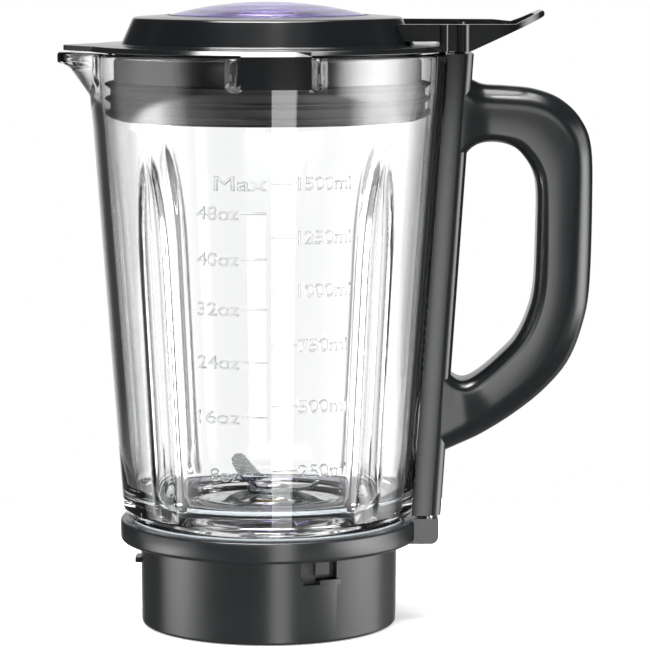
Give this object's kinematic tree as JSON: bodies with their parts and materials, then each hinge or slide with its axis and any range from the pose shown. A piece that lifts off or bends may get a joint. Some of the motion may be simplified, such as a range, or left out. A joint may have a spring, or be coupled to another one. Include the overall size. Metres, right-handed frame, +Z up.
{
  "type": "blender jug",
  "caption": "Glass jug for a countertop blender with lid, clear filler cap, loop handle, base collar and removable blade unit",
  "frame": {"origin": "on the blade axis, at the centre of the drive coupling's flat lower face, 4 mm above the rim that the jug stands on", "axes": "+Z up along the blade axis, +X to the handle, -X to the spout, -Y to the front with the scale"},
  "size_m": [0.2195, 0.154, 0.2565],
  "materials": {
    "jug_glass": "clear polished glass",
    "handle_plastic": "satin anthracite",
    "lid_plastic": "satin black with polished edges",
    "collar_plastic": "metallic grey satin coat",
    "holder_plastic": "moulded black",
    "blade_steel": "fine brushed",
    "bright_steel": "turned and polished",
    "spring_steel": "drawn wire",
    "bronze": "sintered",
    "black_rubber": "matt moulded silicone rubber",
    "cap_clear": "clear purple tinted plastic, polished"
  },
  "bodies": {
    "jug": {"glass_jug": "jug_glass", "handle_shell": "handle_plastic", "handle_screw_front": "bright_steel", "handle_screw_back": "bright_steel", "base_collar": "collar_plastic", "jug_gasket": "black_rubber", "interlock_spring": "spring_steel"},
    "interlock": {"interlock_rod": "holder_plastic"},
    "blade_unit": {"blade_holder": "holder_plastic", "holder_gasket": "black_rubber", "seat_plate": "bright_steel", "bearing_housing": "bright_steel", "lower_bearing": "bronze", "upper_bearing": "bronze", "shaft_seal": "black_rubber"},
    "spindle": {"blade_shaft": "bright_steel", "retaining_ring": "spring_steel", "lower_thrust_washer": "bronze", "upper_thrust_washer": "bronze", "blade_seat_washer": "bright_steel", "lower_blade": "blade_steel", "blade_spacer": "bright_steel", "upper_blade": "blade_steel", "blade_nut": "bright_steel", "drive_coupling": "holder_plastic"},
    "lid": {"lid_cover": "lid_plastic", "lid_plug": "lid_plastic", "lid_seal": "black_rubber"},
    "cap": {"filler_cap": "cap_clear", "cap_seal": "black_rubber"}
  },
  "joints": [
    {"name": "blade_unit_turn", "type": "hinge", "parent": "jug", "child": "blade_unit", "pos_m": [0, 0, 0.03], "axis": [0, 0, 1], "range_deg": [-6, 0]},
    {"name": "blade_spin", "type": "hinge", "parent": "blade_unit", "child": "spindle", "pos_m": [0, 0, 0.03], "axis": [0, 0, 1], "continuous": true},
    {"name": "lid_lift", "type": "slide", "parent": "jug", "child": "lid", "axis": [0, 0, 1], "range_m": [0, 0.08]},
    {"name": "cap_lift", "type": "slide", "parent": "lid", "child": "cap", "axis": [0, 0, 1], "range_m": [0, 0.06]},
    {"name": "interlock_press", "type": "slide", "parent": "jug", "child": "interlock", "axis": [0.0667, 0, 0.9978], "range_m": [-0.004, 0], "stiffness_N_per_m": 200, "springref_m": 0.003, "deforming": ["interlock_spring"]}
  ]
}
